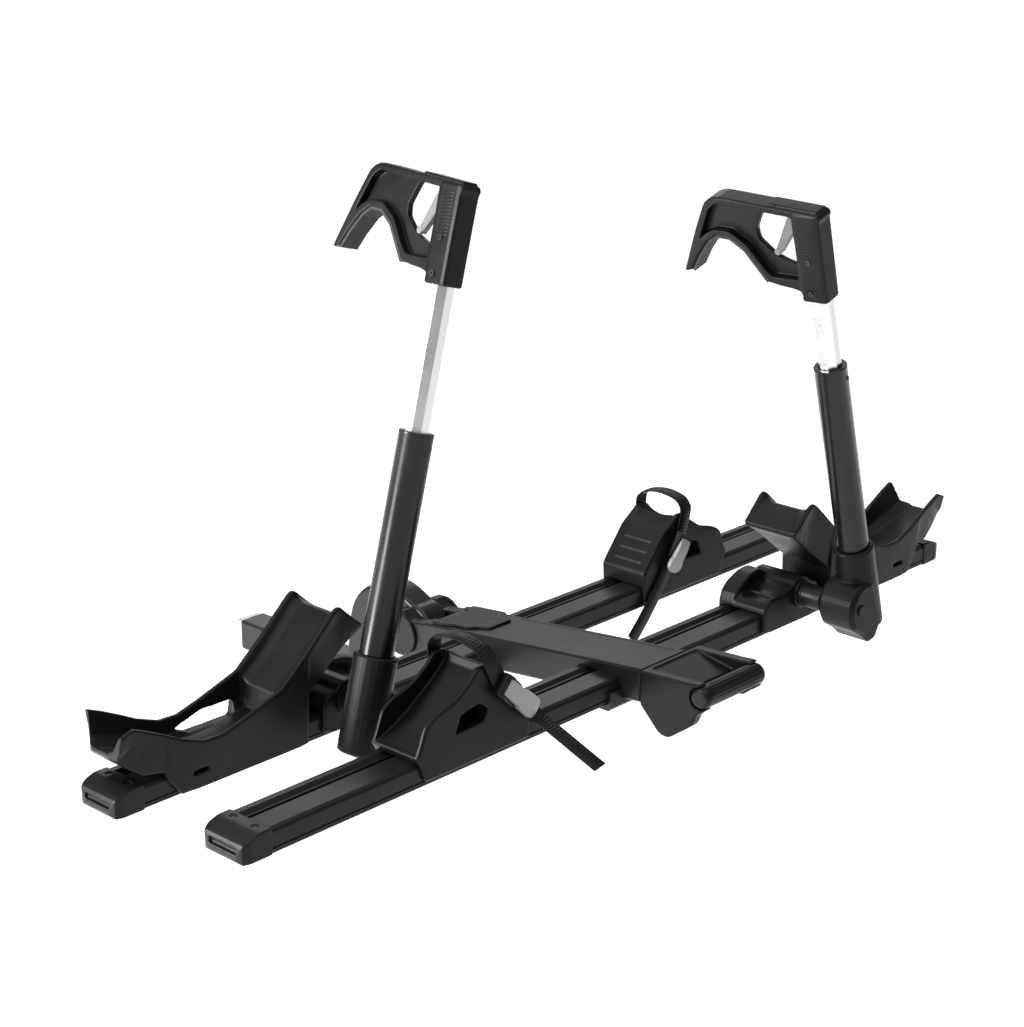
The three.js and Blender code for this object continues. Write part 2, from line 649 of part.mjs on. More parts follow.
function makeChock(tray) {
  const out = -tray.side;
  const start = tray.chockStart;
  const place = (points) => points.map(([s, h, radius]) => [out * (s + start), h, radius]);
  let chock = prism('y', place(CHOCK_WALLS), -CHOCK_HALF_WIDTH, CHOCK_HALF_WIDTH, 2.5);
  chock = chock.subtract(prism('y', place(CHOCK_TROUGH), -36, 36));
  chock = chock.subtract(prism('y', place([[82, 150], [36, 150], [60, 121], [78, 132]]), -26, 26));
  chock = chock.subtract(railClearance(out * (start - 5), out * (start + 230)));
  // Hollow under the ramp, open through both walls.
  chock = chock.subtract(prism('y', place(CHOCK_WINDOW), -60, 60));
  // Ribs on the face towards the spine.
  [12, 24, 36].forEach((s) => {
    const h = 64 + (s - 6) * 1.2;
    const rib = place([[s - 1, h - 2], [s + 3, h + 2], [s + 1, h + 5], [s - 3, h + 1]]);
    chock = chock.add(prism('y', rib, -28, 28, 0.8));
  });
  // Foot that runs in the rail slot.
  const footStart = out * (start + 40);
  const footEnd = out * (start + 150);
  const stem = box(footStart, footEnd, SLOT_NEAR + 0.6, SLOT_FAR - 0.6, 22, 40);
  const foot = box(footStart, footEnd, 1.8, 18.2, SLOT_FLOOR + 0.6, SLOT_LIP - 0.6);
  return chock.add(stem).add(foot);
}

const STRAP_WIDTH = 25;
const STRAP_THICKNESS = 2.6;
const ALONG_RAIL = [1, 0, 0];

// Centre line of each strap, from its anchor on the wall facing the vehicle, over the wheel
// space, down the other wall and on to its free tail.
const STRAPS = {
  inner: [
    [372, 46.8, 66], [376, 46.8, 100], [378, 46.4, 141], [379, 41, 152], [380, 28, 160],
    [380, 0, 164], [380, -28, 160], [379, -41, 152], [376, -47, 140], [366, -48, 108],
    [352, -48, 84], [330, -48, 52], [304, -48, 18], [274, -49, -14], [244, -51, -40],
  ],
  outer: [
    [-336, 46.8, 84], [-339, 46.8, 112], [-342, 46.4, 142], [-343, 41, 155], [-344, 28, 164],
    [-344, 0, 169], [-342, -28, 164], [-338, -41, 156], [-331, -47, 140], [-312, -48, 104],
    [-288, -48, 80], [-266, -48.5, 58], [-250, -50, 43], [-243, -60, 33], [-241, -84, 23],
    [-237, -118, 7], [-232, -150, -9],
  ],
};
// Direction across the strap at each point of its run down the wall.
const STRAP_ACROSS = {
  inner: (i) => (i > 8 ? [0.8, 0, -0.6] : ALONG_RAIL),
  outer: (i) => (i > 8 && i < 12 ? [0.7, 0, 0.7] : ALONG_RAIL),
};

function makeStrap(tray) {
  const stations = STRAPS[tray.tag].map((at, i) => ({ at, across: STRAP_ACROSS[tray.tag](i) }));
  return ribbon(stations, STRAP_WIDTH, STRAP_THICKNESS);
}

// Buckle frame: origin on the strap at the top of the lever, x along the lever, z outwards.
const BUCKLES = {
  inner: { at: [362, -50.2, 100], along: [-0.53, 0, -0.85], lever: 56 },
  outer: { at: [-313, -50.2, 104], along: [0.74, 0, -0.67], lever: 78 },
};
const BUCKLE_HALF_WIDTH = 16;
const BUCKLE_DEPTH = 9;
const LEVER_HINGE = 5.4;

function buckleFrame(tray) {
  const buckle = BUCKLES[tray.tag];
  const along = new THREE.Vector3(...buckle.along).normalize();
  const out = new THREE.Vector3(0, -1, 0);
  const across = out.clone().cross(along);
  return new THREE.Matrix4().makeTranslation(0, tray.y, tray.z)
    .multiply(new THREE.Matrix4().makeTranslation(...buckle.at))
    .multiply(new THREE.Matrix4().makeBasis(along, across, out));
}

function makeBuckleBase() {
  const wide = BUCKLE_HALF_WIDTH;
  const body = prism('y', [
    [-8, 0], [-8, BUCKLE_DEPTH, 3], [4, BUCKLE_DEPTH + 3, 2], [10, BUCKLE_DEPTH, 2],
    [34, 4, 2], [34, 0],
  ], -wide, wide, 1);
  const strapWay = box(-12, 40, -STRAP_WIDTH / 2 - 0.5, STRAP_WIDTH / 2 + 0.5, -2, 1.4);
  const leverWay = box(-1, 44, -wide + 4, wide - 4, 2.6, 20);
  const pin = rod('y', 1.8, 4, LEVER_HINGE + 3, -wide + 2, wide - 2, 0, 10);
  return body.subtract(strapWay).subtract(leverWay).add(pin);
}

function makeBuckleLever(tray) {
  const reach = BUCKLES[tray.tag].lever;
  const narrow = BUCKLE_HALF_WIDTH - 4.6;
  const plan = prism('z', [
    [-1, -narrow, 2], [34.6, -narrow], [38, -14, 3], [reach - 4, -15, 8], [reach + 3, 0, 10],
    [reach - 4, 15, 8], [38, 14, 3], [34.6, narrow], [-1, narrow, 2],
  ], 0, 30);
  const profile = prism('y', [
    [-0.6, 6, 1], [0.4, 12.4, 2], [14, 14, 3], [reach - 10, 11, 4], [reach + 3, 7, 2],
    [reach + 2, 4, 1], [34, 5], [8, 5],
  ], -30, 30);
  const way = bore('y', 1.8 + CLEARANCE, 4, LEVER_HINGE + 3, -30, 30, 10);
  return plan.intersect(profile).subtract(way);
}

// ---------- both trays ----------
TRAYS.forEach((tray) => {
  const { side, tag } = tray;
  const flat = new THREE.Matrix4().makeTranslation(0, tray.y, tray.z);
  const arm = armFrame(tray);
  const head = headFrame(tray);
  const buckle = buckleFrame(tray);
  add(`tray_rail_${tag}`, makeRail(), 'railMetal', flat);
  add(`rail_cap_${tag}_left`, makeCap(-1), 'blackPlastic', flat);
  add(`rail_cap_${tag}_right`, makeCap(1), 'blackPlastic', flat);
  add(`wheel_cradle_${tag}`, makeCradle(side), 'charcoalPlastic', flat);
  add(`arm_shoe_${tag}`, makeShoe(side), 'charcoalPlastic', flat);
  add(`arm_hinge_${tag}`, makeHinge(side), 'blackPlastic', flat);
  add(`arm_knuckle_${tag}`, makeKnuckle(side), 'charcoalPlastic', arm);
  add(`arm_tube_${tag}`, makeArmTube(), 'tubePaint', head);
  add(`arm_extension_${tag}`, makeExtension(tray), 'silverTube', head);
  add(`hook_head_${tag}`, makeHead(tray), 'blackPlastic', head);
  add(`hook_pad_${tag}`, makePad(tray), 'rubber', head);
  add(`head_screw_upper_${tag}`, makeHeadScrew(tray, 62, 6), 'blackScrew', head);
  add(`head_screw_lower_${tag}`, makeHeadScrew(tray, 14, 8), 'blackScrew', head);
  add(`ratchet_trigger_${tag}`, makeTrigger(tray), 'greyPlastic', head);
  add(`wheel_chock_${tag}`, makeChock(tray), 'charcoalPlastic', flat);
  add(`wheel_strap_${tag}`, makeStrap(tray), 'strapPlastic', flat);
  add(`buckle_base_${tag}`, makeBuckleBase(), 'blackPlastic', buckle);
  add(`buckle_lever_${tag}`, makeBuckleLever(tray), 'silverPlastic', buckle);
});

// ---------- saddles that carry the rails under the spine ----------
const SADDLE_LEFT = -87;
const SADDLE_RIGHT = 70;

function makeSaddle(y, z, grow = 0) {
  const wall = RAIL_HALF_WIDTH + CLEARANCE;
  const outer = wall + 5 + grow;
  const left = SADDLE_LEFT - grow;
  const right = SADDLE_RIGHT + grow;
  const cup = prism('x', [
    [y - outer, z - 4], [y - outer + 4, z - 9 - grow], [y + outer - 4, z - 9 - grow],
    [y + outer, z - 4], [y + outer, z + 18 + grow], [y - outer, z + 18 + grow],
  ], left, right);
  if (grow > 0) return cup;
  return cup.subtract(box(left - 5, right + 5, y - wall, y + wall, z - CLEARANCE, z + 40));
}

// ---------- spine ----------
const spineTop = (y) => SPINE_TOP_AT_ZERO - SPINE_SLOPE * y;

function makeSpine() {
  const left = SPINE_CENTRE_X - SPINE_HALF_WIDTH;
  const right = SPINE_CENTRE_X + SPINE_HALF_WIDTH;
  const near = SPINE_HANDLE_END;
  const far = SPINE_SHELL_END;
  const shell = prism('x', [
    [near, spineTop(near)], [far, spineTop(far)],
    [far, spineTop(far) - SPINE_DEPTH], [near, spineTop(near) - SPINE_DEPTH],
  ], left, right, 3);
  const inside = prism('x', [
    [near + 8, spineTop(near + 8) - SPINE_ROOF], [far - 24, spineTop(far - 24) - SPINE_ROOF],
    [far - 24, -80], [near + 8, -80],
  ], left + SPINE_WALL, right - SPINE_WALL);
  const cheeks = prism('x', [
    [far - 6, spineTop(far - 6) - 3], [385, spineTop(385) - 4, 6],
    ...arc(CHEEK_RADIUS, PIVOT_Y, PIVOT_Z, 95, -95, 10),
    [380, -62, 10], [far - 6, spineTop(far - 6) - SPINE_DEPTH + 3],
  ], left + 3, right - 3, 2);
  const slotHalf = MAST_HALF_WIDTH + 0.6;
  const hubWay = rod('x', HUB_RADIUS + 1, PIVOT_Y, PIVOT_Z,
    SPINE_CENTRE_X - slotHalf, SPINE_CENTRE_X + slotHalf, 0, 32);
  const hubOpen = box(SPINE_CENTRE_X - slotHalf, SPINE_CENTRE_X + slotHalf, HUB_SLOT_Y, 480, -120, 60);
  let spine = shell.subtract(inside).add(cheeks).subtract(hubWay).subtract(hubOpen);
  spine = spine.subtract(bore('x', PIVOT_PIN_RADIUS + CLEARANCE, PIVOT_Y, PIVOT_Z, -100, 100));
  TRAYS.forEach(({ y, z }) => {
    const room = RAIL_HALF_WIDTH + CLEARANCE;
    spine = spine.subtract(box(-120, 120, y - room, y + room, -90, z + RAIL_HEIGHT + CLEARANCE));
    spine = spine.subtract(makeSaddle(y, z, CLEARANCE));
  });
  // Long groove beside the edge of the roof.
  const [from, to] = [-62, 236];
  const groove = prism('x', [
    [from, spineTop(from) + 1], [to, spineTop(to) + 1],
    [to, spineTop(to) - 1], [from, spineTop(from) - 1],
  ], right - 10, right - 8.4);
  return spine.subtract(groove).subtract(makeReleaseBar(0.5));
}

const BAR_HALF_WIDTH = 7;
const BAR_THICKNESS = 2.8;
const BAR_START = -66;
const BAR_END = 334;

// Flat bar under the roof of the spine, from behind the handle to just short of the hub.
function makeReleaseBar(grow = 0) {
  const roof = (y) => spineTop(y) - SPINE_ROOF - 0.6 + grow;
  const near = BAR_START - (grow ? 10 : 0);
  const far = BAR_END + (grow ? 20 : 0);
  const deep = BAR_THICKNESS + 2 * grow;
  const half = BAR_HALF_WIDTH + grow;
  return prism('x', [
    [near, roof(near)], [far, roof(far)], [far, roof(far) - deep], [near, roof(near) - deep],
  ], SPINE_CENTRE_X - half, SPINE_CENTRE_X + half);
}

// Placement of pieces that lie flat on the sloping roof: x across, y along the roof.
const onRoof = new THREE.Matrix4()
  .makeTranslation(SPINE_CENTRE_X, 0, SPINE_TOP_AT_ZERO)
  .multiply(new THREE.Matrix4().makeRotationX(-Math.atan(SPINE_SLOPE)));
const COVER_SCREWS = [[-6, 334], [-2, 252]];
const COVER_THICKNESS = 3.5;

function makeHubCover() {
  let cover = prism('z', [
    [-46, 340, 3], [-46, 318, 3], [-40, 300, 3], [-40, 270, 4], [-30, 258, 4], [-24, 238, 4],
    [24, 238, 4], [30, 258, 4], [46, 270, 4], [46, 340, 3], [25, 340, 2], [25, 330],
    [-25, 330], [-25, 340, 2],
  ], CLEARANCE, CLEARANCE + COVER_THICKNESS, 1);
  COVER_SCREWS.forEach(([x, y]) => {
    const seat = y > 300 ? y - 12 : y;
    cover = cover.subtract(bore('z', 4.5, x, seat, 1.8, 10, 10));
  });
  return cover;
}

function makeCoverScrew([x, y]) {
  const seat = y > 300 ? y - 12 : y;
  const head = rod('z', 4.2, x, seat, 2.1, 4.4, 0.5, 10);
  return head.subtract(rod('z', 1.9, x, seat, 3, 6, 0, 6));
}

add('spine', makeSpine(), 'spinePaint');
add('hub_cover', makeHubCover(), 'charcoalPlastic', onRoof);
add('cover_screw_hub', makeCoverScrew(COVER_SCREWS[0]), 'blackScrew', onRoof);
add('cover_screw_mid', makeCoverScrew(COVER_SCREWS[1]), 'blackScrew', onRoof);
add('saddle_outer', makeSaddle(TRAYS[1].y, TRAYS[1].z), 'spinePaint');
add('saddle_inner', makeSaddle(TRAYS[0].y, TRAYS[0].z), 'spinePaint');

// ---------- handle ----------
const HANDLE_LEFT = -65;
const HANDLE_RIGHT = 66;
const HANDLE_PANEL = 17;
const LEVER_PIVOT_Y = -134;
const LEVER_PIVOT_Z = 12;

function makeHandleFrame() {
  const outline = [
    [-76, 56.5], [-165, 62], [-176, 64, 6], [-187, 58, 6], [-192, 30, 6],
    [-175, 17, 5], [-168, 0, 6], [-126, -31, 6], [-110, -28, 6], [-90, -8, 5], [-76, 6],
  ];
  let frame = prism('x', outline, HANDLE_LEFT, HANDLE_RIGHT, 2);
  const gapLeft = HANDLE_LEFT + HANDLE_PANEL;
  const gapRight = HANDLE_RIGHT - HANDLE_PANEL;
  const fingerGap = prism('x', [
    [-149, 90], [-149, 37.5], [-128, 37.5], [-128, -60], [-230, -60], [-230, 90],
  ], gapLeft, gapRight);
  frame = frame.subtract(fingerGap);
  // Only the left panel runs down into a foot.
  frame = frame.subtract(prism('x', [
    [-230, -60], [-230, 24], [-182, 24], [-168, 12], [-100, 2], [-92, -8], [-92, -60],
  ], gapLeft + 3, HANDLE_RIGHT + 5));
  // The panel over the lever slopes down from the spine's roof.
  frame = frame.subtract(
    prism('x', [[-84, 80], [-84, 55], [-149, 44], [-149, 80]], gapLeft, gapRight),
  );
  frame = frame.subtract(bore('x', GRIP_RADIUS + CLEARANCE, GRIP_Y, GRIP_Z, -100, 100, 20));
  frame = frame.subtract(bore('x', 3 + CLEARANCE, LEVER_PIVOT_Y, LEVER_PIVOT_Z,
    gapLeft - 6, gapRight + 6, 12));
  return frame;
}

function makeGrip() {
  const half = 65.5;
  const profile = [
    [0, -half], [9, -half], [13.5, -half + 2], [GRIP_RADIUS, -half + 7],
    [GRIP_RADIUS, half - 7], [13.5, half - 2], [9, half], [0, half],
  ].map(([r, z]) => new THREE.Vector2(r, z));
  const lathe = new THREE.LatheGeometry(profile, 20);
  lathe.rotateZ(Math.PI / 2);
  lathe.translate(0.5, GRIP_Y, GRIP_Z);
  let grip = toSolid(lathe);
  for (let k = 0; k < GRIP_GROOVES; k += 1) {
    const turn = (2 * Math.PI * k) / GRIP_GROOVES;
    const y = GRIP_Y + (GRIP_RADIUS + 0.6) * Math.cos(turn);
    const z = GRIP_Z + (GRIP_RADIUS + 0.6) * Math.sin(turn);
    grip = grip.subtract(rod('x', 1.5, y, z, -44, 41, 0, 4));
  }
  return grip;
}

function makeReleaseLever() {
  const left = HANDLE_LEFT + HANDLE_PANEL + 1;
  const right = HANDLE_RIGHT - HANDLE_PANEL - 1;
  const outline = [
    [-131, 7, 3], [-139, 7, 3], [-150, 18, 4], [-163, 28, 3], [-163, 34, 3], [-152, 34, 3],
    [-131, 19, 5],
  ];
  const paddle = prism('x', outline, left, right, 1);
  const pin = rod('x', 3, LEVER_PIVOT_Y, LEVER_PIVOT_Z, left - 5, right + 5, 0, 12);
  return paddle.add(pin);
}

add('handle_frame', makeHandleFrame(), 'charcoalPlastic');
add('handle_grip', makeGrip(), 'blackPlastic');
add('release_lever', makeReleaseLever(), 'greyPlastic');
add('release_bar', makeReleaseBar(), 'steel');

// ---------- stinger, mast and pivot ----------
function makeMast() {
  const disc = rod('x', HUB_RADIUS, PIVOT_Y, PIVOT_Z,
    SPINE_CENTRE_X - MAST_HALF_WIDTH, SPINE_CENTRE_X + MAST_HALF_WIDTH, 4, 32);
  const neck = prism('x', [
    [392, 14], [433, 33, 14], [457, 39, 14], [484, 35, 14], [510, 22, 16], [530, 4, 14],
    [543, -18, 14], [550, -50, 16], [556, -114.3], [506, -114.3], [500, -75, 20],
    [474, -48, 20], [430, -52, 14], [400, -50],
  ], SPINE_CENTRE_X - MAST_HALF_WIDTH, SPINE_CENTRE_X + MAST_HALF_WIDTH, 4);
  const pinWay = bore('x', PIVOT_PIN_RADIUS + CLEARANCE, PIVOT_Y, PIVOT_Z, -100, 100);
  return disc.add(neck).subtract(pinWay);
}

function makeStinger() {
  const left = SPINE_CENTRE_X - STINGER_HALF;
  const right = SPINE_CENTRE_X + STINGER_HALF;
  const low = STINGER_CENTRE_Z - STINGER_HALF;
  const high = STINGER_CENTRE_Z + STINGER_HALF;
  const corner = 4;
  const section = (inset, radius) => [
    [left + inset, low + inset, radius], [right - inset, low + inset, radius],
    [right - inset, high - inset, radius], [left + inset, high - inset, radius],
  ];
  const tube = prism('y', section(0, corner), STINGER_START_Y, STINGER_END_Y);
  const hollow = prism('y', section(STINGER_WALL, 2), STINGER_START_Y + 8, STINGER_END_Y + 5);
  const pinHole = rod('x', HITCH_PIN_RADIUS, HITCH_PIN_Y, STINGER_CENTRE_Z, -80, 60);
  return tube.subtract(hollow).subtract(pinHole);
}

// Wedge that closes the tip of the stinger and takes up play in the receiver.
function makeWedge() {
  const plugHalf = STINGER_HALF - STINGER_WALL - CLEARANCE;
  const x = SPINE_CENTRE_X;
  const z = STINGER_CENTRE_Z;
  const plug = box(x - plugHalf, x + plugHalf, STINGER_END_Y - 30, STINGER_END_Y + 6,
    z - plugHalf, z + plugHalf, 1);
  const nose = prism('x', [
    [STINGER_END_Y + CLEARANCE, z - 25], [STINGER_END_Y + CLEARANCE, z + 25],
    [STINGER_END_Y + 12, z + 25, 4], [STINGER_END_Y + 24, z + 10, 6],
    [STINGER_END_Y + 24, z - 10, 6], [STINGER_END_Y + 12, z - 25, 4],
  ], x - 22, x + 22, 2);
  return plug.add(nose);
}

const PIVOT_FLANGE_RADIUS = 34;
const PIVOT_FLANGE_THICKNESS = 5;

function makePivotPin() {
  const left = SPINE_CENTRE_X - SPINE_HALF_WIDTH + 3 - CLEARANCE;
  const right = SPINE_CENTRE_X + SPINE_HALF_WIDTH + 4;
  const shank = rod('x', PIVOT_PIN_RADIUS, PIVOT_Y, PIVOT_Z, left - 2, right);
  const flange = rod('x', PIVOT_FLANGE_RADIUS, PIVOT_Y, PIVOT_Z,
    left - PIVOT_FLANGE_THICKNESS, left, 1.5, 20);
  return shank.add(flange);
}

function makePivotCap() {
  const from = SPINE_CENTRE_X + SPINE_HALF_WIDTH - 3 + CLEARANCE;
  const flange = rod('x', PIVOT_FLANGE_RADIUS, PIVOT_Y, PIVOT_Z,
    from, from + PIVOT_FLANGE_THICKNESS, 1.5, 20);
  return flange.subtract(bore('x', PIVOT_PIN_RADIUS + CLEARANCE, PIVOT_Y, PIVOT_Z, 0, 100));
}

add('mast', makeMast(), 'tubePaint');
add('stinger', makeStinger(), 'tubePaint');
add('stinger_wedge', makeWedge(), 'steel');
add('pivot_pin', makePivotPin(), 'blackPlastic');
add('pivot_cap', makePivotCap(), 'blackPlastic');

export default group;
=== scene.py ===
import json
import math

import bmesh
import bpy
from mathutils import Matrix, Vector

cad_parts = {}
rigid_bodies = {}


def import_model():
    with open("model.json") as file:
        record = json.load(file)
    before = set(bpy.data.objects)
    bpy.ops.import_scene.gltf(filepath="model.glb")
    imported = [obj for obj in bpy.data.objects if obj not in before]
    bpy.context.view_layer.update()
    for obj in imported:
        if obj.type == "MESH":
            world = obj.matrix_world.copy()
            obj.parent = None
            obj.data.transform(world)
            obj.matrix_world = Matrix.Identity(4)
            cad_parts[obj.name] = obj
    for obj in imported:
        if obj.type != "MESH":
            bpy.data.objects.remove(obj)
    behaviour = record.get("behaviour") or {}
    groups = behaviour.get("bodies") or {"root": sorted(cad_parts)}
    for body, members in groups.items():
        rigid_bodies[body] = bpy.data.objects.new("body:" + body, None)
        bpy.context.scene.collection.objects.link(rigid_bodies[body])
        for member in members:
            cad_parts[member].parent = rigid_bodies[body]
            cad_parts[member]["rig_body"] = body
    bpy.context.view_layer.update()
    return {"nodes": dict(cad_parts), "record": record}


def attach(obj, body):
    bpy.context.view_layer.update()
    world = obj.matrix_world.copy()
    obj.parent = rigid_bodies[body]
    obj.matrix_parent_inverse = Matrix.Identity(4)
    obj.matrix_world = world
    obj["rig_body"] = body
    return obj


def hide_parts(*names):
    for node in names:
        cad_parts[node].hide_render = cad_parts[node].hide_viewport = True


# Looks of the platform rack. Metres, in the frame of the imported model: +X along the trays,
# +Y towards the vehicle, +Z up. Lengths that repeat the model's are in millimetres.
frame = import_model()
NODES = frame["nodes"]
SLOT_OF = {part["node"]: part["material_slot"] for part in frame["record"]["subparts"]}
MM = 0.001
# Where the middle of the outer tray's underside is in the model's frame.
TRAY_ORIGIN = Matrix.Translation((13 * MM, -740 * MM, 165.4 * MM))

TRAYS = (
    {"tag": "inner", "side": -1, "y": 248.6, "z": -23.9, "head": 585},
    {"tag": "outer", "side": 1, "y": 0.0, "z": 0.0, "head": 497},
)
# Grip ridges on the post of each hook head: half thickness of the post, number of ridges, their
# pitch, the first one's height above the head's lower end, and one ridge's size and bevel.
POST_HALF = 18.0
HEAD_RIDGES = 13
RIDGE_PITCH = 4.6
RIDGE_START = 66.0
RIDGE_BLOCK = (1.2, 22.0, 2.2)
RIDGE_LIFT = 0.05
RIDGE_ASIDE = 0.5
RIDGE_BEVEL = 0.5


# ---------- materials ----------
def add_node(tree, kind, **values):
    node = tree.nodes.new(kind)
    for name, value in values.items():
        if name in node.inputs:
            node.inputs[name].default_value = value
        else:
            setattr(node, name, value)
    return node


def grey(level, tint=0.0):
    """A linear grey, a little blue for a positive tint."""
    return (level * (1 - tint), level, level * (1 + tint), 1.0)


def ramp(tree, source, low, high, start=0.3, end=0.7):
    """Maps a 0..1 source onto low..high between start and end."""
    node = add_node(tree, "ShaderNodeMapRange")
    node.inputs["From Min"].default_value = start
    node.inputs["From Max"].default_value = end
    node.inputs["To Min"].default_value = low
    node.inputs["To Max"].default_value = high
    tree.links.new(source, node.inputs["Value"])
    return node.outputs["Result"]


def colour_mix(tree, share, first, second):
    node = tree.nodes.new("ShaderNodeMix")
    node.data_type = "RGBA"
    colours = [s for s in node.inputs if s.type == "RGBA"]
    factor = next(s for s in node.inputs if s.type == "VALUE")
    for value, socket in ((share, factor), (first, colours[0]), (second, colours[1])):
        if isinstance(value, bpy.types.NodeSocket):
            tree.links.new(value, socket)
        else:
            socket.default_value = value
    return next(s for s in node.outputs if s.type == "RGBA")


GRAIN_BUMP = 0.4 * MM
SCRATCH_SCALE = 160.0
SCRATCH_STRETCH = (0.04, 1.0, 1.0)  # scratches run along the trays
WEAR_AND_HIGHLIGHT_FROM, WEAR_AND_HIGHLIGHT_TO = 0.53, 0.62  # pointiness of an edge where the lighter edge colour, partly wear and partly a painted highlight, starts and is full
SPECK_LIGHT = 1.8
# How much lighter the edges are painted, partly for wear and partly as a painted highlight.
WEAR_AND_HIGHLIGHT_LIGHT = 2.6


def finish_of(name, base, rough, metal=0.0, specular=0.5, grain=900.0, grain_depth=0.15,
              patch=9.0, patch_share=0.25, scratch=0.0, edge=0.35, tint=0.02):
    """A procedural finish: moulded grain, broad tone patches, fine scratches, and edges painted
    lighter, partly as wear and partly as a painted highlight.
    """
    material = bpy.data.materials.new(name)
    material.use_nodes = True
    tree = material.node_tree
    shader = tree.nodes["Principled BSDF"]
    shader.inputs["Metallic"].default_value = metal
    shader.inputs["Specular IOR Level"].default_value = specular
    place = add_node(tree, "ShaderNodeTexCoord")
    where = place.outputs["Object"]

    patches = add_node(tree, "ShaderNodeTexNoise", Scale=patch, Detail=4.0, Roughness=0.6)
    tree.links.new(where, patches.inputs["Vector"])
    fine = add_node(tree, "ShaderNodeTexNoise", Scale=grain, Detail=2.0, Roughness=0.55)
    tree.links.new(where, fine.inputs["Vector"])

    dark = grey(base * (1 - patch_share), tint)
    light = grey(base * (1 + patch_share), tint)
    colour = colour_mix(tree, ramp(tree, patches.outputs["Fac"], 0.0, 1.0), dark, light)
    speck = colour_mix(tree, ramp(tree, fine.outputs["Fac"], 0.0, 0.35, 0.55, 0.75), colour,
                       grey(min(1.0, base * SPECK_LIGHT), tint))
    shape = add_node(tree, "ShaderNodeNewGeometry")
    # Sharp edges are painted lighter by pointiness: partly wear, partly a painted highlight along
    # the edges.
    wear_and_highlight = ramp(tree, shape.outputs["Pointiness"], 0.0, edge, WEAR_AND_HIGHLIGHT_FROM, WEAR_AND_HIGHLIGHT_TO)
    colour = colour_mix(tree, wear_and_highlight, speck, grey(min(1.0, base * WEAR_AND_HIGHLIGHT_LIGHT + 0.01), tint))
    tree.links.new(colour, shader.inputs["Base Color"])

    rough_here = ramp(tree, patches.outputs["Fac"], rough - 0.06, rough + 0.07)
    bump = add_node(tree, "ShaderNodeBump", Strength=grain_depth, Distance=GRAIN_BUMP)
    height = fine.outputs["Fac"]
    if scratch > 0:
        lines = add_node(tree, "ShaderNodeTexNoise", Scale=SCRATCH_SCALE, Detail=5.0,
                         Roughness=0.7)
        drawn = add_node(tree, "ShaderNodeMapping", Scale=SCRATCH_STRETCH)
        tree.links.new(place.outputs["Object"], drawn.inputs["Vector"])
        tree.links.new(drawn.outputs["Vector"], lines.inputs["Vector"])
        add = add_node(tree, "ShaderNodeMath", operation="MULTIPLY_ADD")
        add.inputs[1].default_value = scratch
        tree.links.new(lines.outputs["Fac"], add.inputs[0])
        tree.links.new(height, add.inputs[2])
        height = add.outputs[0]
    tree.links.new(rough_here, shader.inputs["Roughness"])
    tree.links.new(height, bump.inputs["Height"])
    tree.links.new(bump.outputs["Normal"], shader.inputs["Normal"])
    return material


FINISHES = {
    "rail_metal": finish_of("rail_metal", 0.004, 0.34, specular=0.14, grain=500,
                            grain_depth=0.05, scratch=1.2, patch=5, edge=0.2),
    "spine_paint": finish_of("spine_paint", 0.005, 0.36, specular=0.18, grain=700,
                             grain_depth=0.2, patch=6, edge=0.25),
    "tube_paint": finish_of("tube_paint", 0.003, 0.26, specular=0.28, grain=260,
                            grain_depth=0.03, patch=7, edge=0.2),
    "black_plastic": finish_of("black_plastic", 0.004, 0.36, specular=0.16, grain=1100,
                               grain_depth=0.2, edge=0.25),
    "charcoal_plastic": finish_of("charcoal_plastic", 0.004, 0.36, specular=0.12, grain=1000,
                                  grain_depth=0.2, edge=0.25),
    "silver_tube": finish_of("silver_tube", 0.66, 0.28, metal=1.0, grain=600, grain_depth=0.04,
                             scratch=0.8, patch_share=0.05, edge=0.1, tint=0.012),
    "grey_plastic": finish_of("grey_plastic", 0.11, 0.40, grain=900, grain_depth=0.15,
                              patch_share=0.12, tint=0.02),
    "silver_plastic": finish_of("silver_plastic", 0.13, 0.34, grain=800, grain_depth=0.1,
                                patch_share=0.1, tint=0.01),
    "rubber": finish_of("rubber", 0.02, 0.65, specular=0.2, grain=1400, grain_depth=0.35,
                        patch_share=0.2),
    "steel": finish_of("steel", 0.40, 0.33, metal=1.0, grain=500, grain_depth=0.05,
                       scratch=0.6, patch_share=0.12, edge=0.2),
    "strap_plastic": finish_of("strap_plastic", 0.003, 0.42, specular=0.14, grain=1200,
                               grain_depth=0.25, edge=0.25),
    "black_screw": finish_of("black_screw", 0.012, 0.3, specular=0.5, grain=900,
                             grain_depth=0.08, edge=0.2),
}


# ---------- pieces ----------
def link(name, mesh, body, slot, *nodes):
    """Adds a finished mesh as a piece that rides on a body and stands for nodes."""
    piece = bpy.data.objects.new(name, mesh)
    bpy.context.scene.collection.objects.link(piece)
    piece.data.materials.clear()
    piece.data.materials.append(FINISHES[slot])
    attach(piece, body)
    if nodes:
        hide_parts(*nodes)
    return piece


def solved(temporary):
    """The mesh of a temporary object with its modifiers applied; the object goes away."""
    bpy.context.view_layer.update()
    depsgraph = bpy.context.evaluated_depsgraph_get()
    mesh = bpy.data.meshes.new_from_object(temporary.evaluated_get(depsgraph))
    old = temporary.data
    bpy.data.objects.remove(temporary)
    if old.users == 0:
        bpy.data.meshes.remove(old)
    return mesh


def scratch_object(mesh):
    thing = bpy.data.objects.new("shaping", mesh)
    bpy.context.scene.collection.objects.link(thing)
    return thing


def body_of(node):
    return NODES[node]["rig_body"]


RELAX_FACTOR = 0.5


